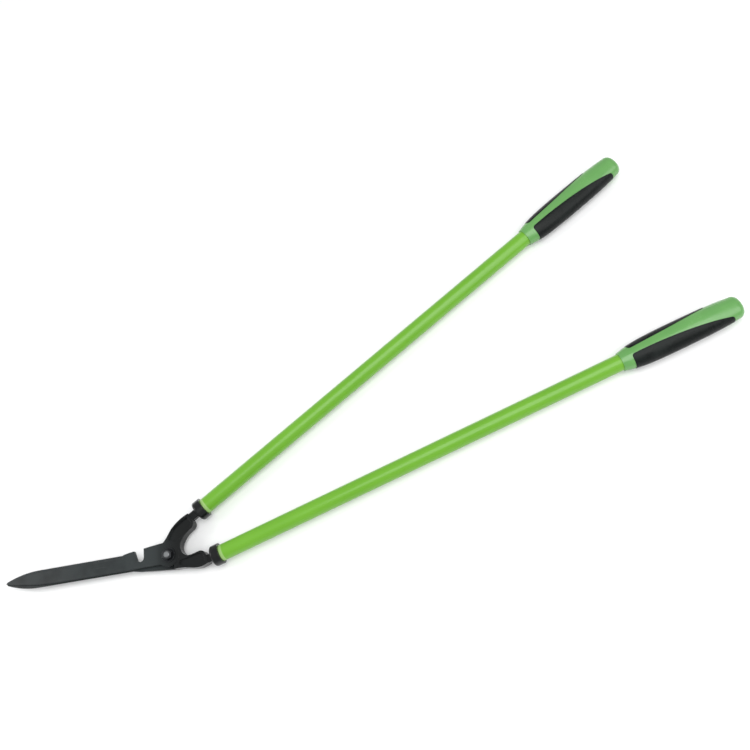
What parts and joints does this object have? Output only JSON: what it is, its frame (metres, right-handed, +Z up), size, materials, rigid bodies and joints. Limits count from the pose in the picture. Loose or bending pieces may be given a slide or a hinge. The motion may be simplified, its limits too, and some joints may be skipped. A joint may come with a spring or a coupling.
{
  "type": "hedge shears",
  "caption": "Long-handled shears with cranked bypass blades, a twig notch by the pivot, tube handles and padded grips, lying closed.",
  "frame": {"origin": "centre of the pivot bolt head's underside, which lies on the surface the shears rest on", "axes": "+Z up along the pivot, +X from the pivot towards the grips along the closed handles' centre line, +Y towards the upper handle"},
  "size_m": [1.0296, 0.2968, 0.0291],
  "materials": {
    "blade_black": "satin black non-stick coating, ground edges slightly lighter",
    "bolt_steel": "dark zinc-plated steel",
    "nut_steel": "dark zinc-plated steel",
    "washer_steel": "zinc-plated steel",
    "spring_steel": "oiled spring steel",
    "bronze": "sintered bronze, oiled",
    "shim_plastic": "natural acetal",
    "nylon_insert": "natural nylon",
    "collar_black": "black moulded plastic",
    "tube_green": "gloss lime-green powder coat",
    "bush_plastic": "black moulded plastic",
    "pin_steel": "spring pin",
    "grip_green": "lime-green moulded polypropylene",
    "pad_black": "soft black moulded rubber"
  },
  "bodies": {
    "lower_half": {"back_blade": "blade_black", "pivot_bolt": "bolt_steel", "spring_washer": "spring_steel", "head_washer": "washer_steel", "pivot_bush": "bronze", "bearing_shim": "shim_plastic", "nut_washer": "washer_steel", "lock_nut": "nut_steel", "nut_insert": "nylon_insert", "lower_collar": "collar_black", "lower_tube": "tube_green", "lower_tang_bush": "bush_plastic", "lower_tang_pin": "pin_steel", "lower_grip_core": "grip_green", "lower_grip_pad_outer": "pad_black", "lower_grip_pad_inner": "pad_black"},
    "upper_half": {"front_blade": "blade_black", "upper_collar": "collar_black", "upper_tube": "tube_green", "upper_tang_bush": "bush_plastic", "upper_tang_pin": "pin_steel", "upper_grip_core": "grip_green", "upper_grip_pad_outer": "pad_black", "upper_grip_pad_inner": "pad_black"}
  },
  "joints": [
    {"name": "blade_pivot", "type": "hinge", "parent": "lower_half", "child": "upper_half", "pos_m": [0, 0, 0.01435], "axis": [0, 0, 1], "range_deg": [0, 60]}
  ]
}
